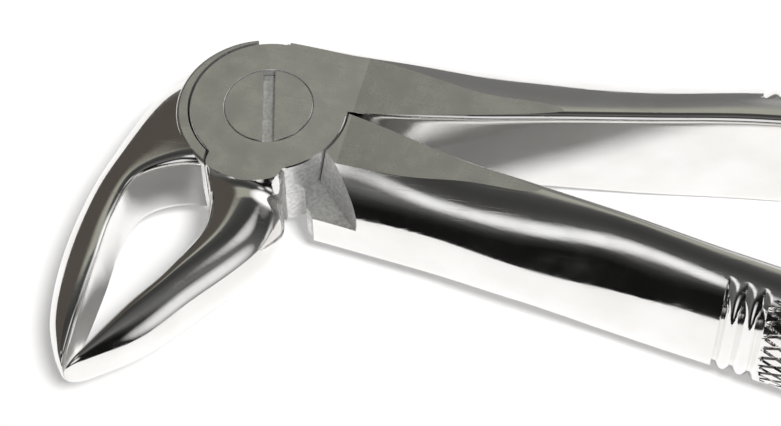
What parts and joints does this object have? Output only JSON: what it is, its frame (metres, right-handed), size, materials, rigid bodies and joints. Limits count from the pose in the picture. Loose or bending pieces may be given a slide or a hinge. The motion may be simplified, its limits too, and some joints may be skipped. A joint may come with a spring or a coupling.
{
  "type": "dental forceps",
  "caption": "Extracting forceps for lower teeth: crossed steel halves on a slotted screw, hollow-faced beaks bent down to a point, and bowed handles with knurled grips.",
  "frame": {"origin": "on the joint screw's axis, at the underside of the lap joint", "axes": "+Z along the screw towards its slotted head, +X midway between the closed handles towards their ends, and -Y the way the beaks point"},
  "size_m": [0.1665, 0.057, 0.015],
  "materials": {
    "polished_steel": "mirror polished, with the flats of the joint ground satin",
    "satin_steel": "satin"
  },
  "bodies": {
    "lower": {"lower_half": "polished_steel", "joint_screw": "satin_steel"},
    "upper": {"upper_half": "polished_steel"}
  },
  "joints": [
    {"name": "opening", "type": "hinge", "parent": "lower", "child": "upper", "pos_m": [0, 0, 0.0047], "axis": [0, 0, 1], "range_deg": [0, 14]}
  ]
}
